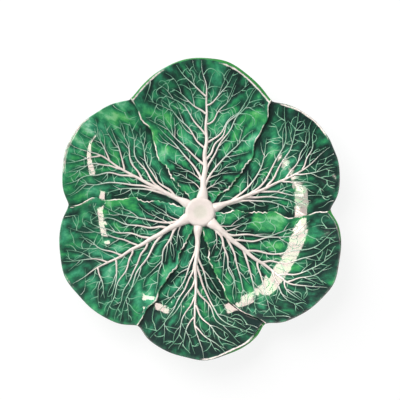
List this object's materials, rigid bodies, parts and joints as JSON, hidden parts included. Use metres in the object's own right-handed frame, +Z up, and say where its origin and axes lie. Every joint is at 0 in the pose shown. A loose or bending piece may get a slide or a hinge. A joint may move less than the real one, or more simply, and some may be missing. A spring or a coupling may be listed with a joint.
{
  "type": "serving plate",
  "caption": "Shallow round serving plate shaped as overlapping cabbage leaves round a cut stalk, with raised veins, a rolled lobed rim and a foot ring underneath.",
  "frame": {"origin": "on the table, under the middle of the stalk", "axes": "+Z up out of the well, +Y along the axis of the top leaf, +X to the right as the plate is pictured"},
  "size_m": [0.2832, 0.3, 0.0358],
  "materials": {
    "leaf_glaze": "glossy",
    "vein_glaze": "glossy",
    "stalk_glaze": "glossy",
    "foot_clay": "matte"
  },
  "bodies": {
    "root": {"leaf_top": "leaf_glaze", "leaf_lower_left": "leaf_glaze", "leaf_lower_right": "leaf_glaze", "leaf_upper_left": "leaf_glaze", "leaf_bottom": "leaf_glaze", "leaf_upper_right": "leaf_glaze", "midrib_top": "vein_glaze", "midrib_lower_left": "vein_glaze", "midrib_lower_right": "vein_glaze", "midrib_upper_left": "vein_glaze", "midrib_bottom": "vein_glaze", "midrib_upper_right": "vein_glaze", "side_veins_top": "vein_glaze", "side_veins_lower_left": "vein_glaze", "side_veins_lower_right": "vein_glaze", "side_veins_upper_left": "vein_glaze", "side_veins_bottom": "vein_glaze", "side_veins_upper_right": "vein_glaze", "stalk": "stalk_glaze", "foot_ring": "foot_clay"}
  },
  "joints": []
}
